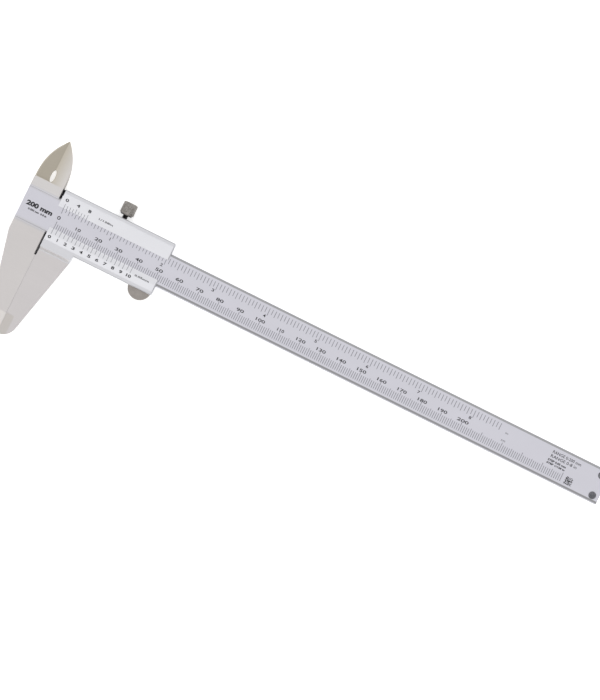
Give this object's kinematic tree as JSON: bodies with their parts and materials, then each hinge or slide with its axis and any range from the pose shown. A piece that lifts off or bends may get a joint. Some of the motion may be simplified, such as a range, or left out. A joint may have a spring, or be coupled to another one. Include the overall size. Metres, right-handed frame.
{
  "type": "vernier caliper",
  "caption": "Slide caliper with a graduated beam, long outer jaws, pointed inner jaws, a slider with vernier faces, a thumb rest, a clamp screw, a depth bar and an end stop.",
  "frame": {"origin": "bottom centre of the closed caliper's bounding box, on the plane of the slider's back, on which the caliper lies", "axes": "+X along the beam away from the jaws, the way the slider opens; +Y from the outer jaws to the inner jaws; +Z out of the graduated face"},
  "size_m": [0.287, 0.0904, 0.0072],
  "materials": {
    "satin_stainless": "satin chrome-plated stainless steel, ground jaws",
    "turned_steel": "turned and knurled, brown-grey",
    "blackened_steel": "blackened",
    "phosphor_bronze": "rolled strip",
    "screw_steel": "turned"
  },
  "bodies": {
    "beam": {"main_beam": "satin_stainless", "stopper_plate": "satin_stainless", "stopper_screw_upper": "screw_steel", "stopper_screw_lower": "screw_steel"},
    "slider": {"slider_body": "satin_stainless", "thumb_rest": "turned_steel", "gib_strip": "phosphor_bronze", "gib_screw_left": "blackened_steel", "gib_screw_right": "blackened_steel", "depth_bar": "satin_stainless", "depth_bar_screw_left": "screw_steel", "depth_bar_screw_right": "screw_steel"},
    "clamp_screw": {"clamp_stud": "blackened_steel", "clamp_knob": "turned_steel"}
  },
  "joints": [
    {"name": "slider_slide", "type": "slide", "parent": "beam", "child": "slider", "axis": [1, 0, 0], "range_m": [0, 0.2099]},
    {"name": "clamp_screw_turn", "type": "hinge", "parent": "slider", "child": "clamp_screw", "pos_m": [-0.0996, 0.0124, 0.0034], "axis": [0, 1, 0], "range_deg": [-45, 315]}
  ]
}
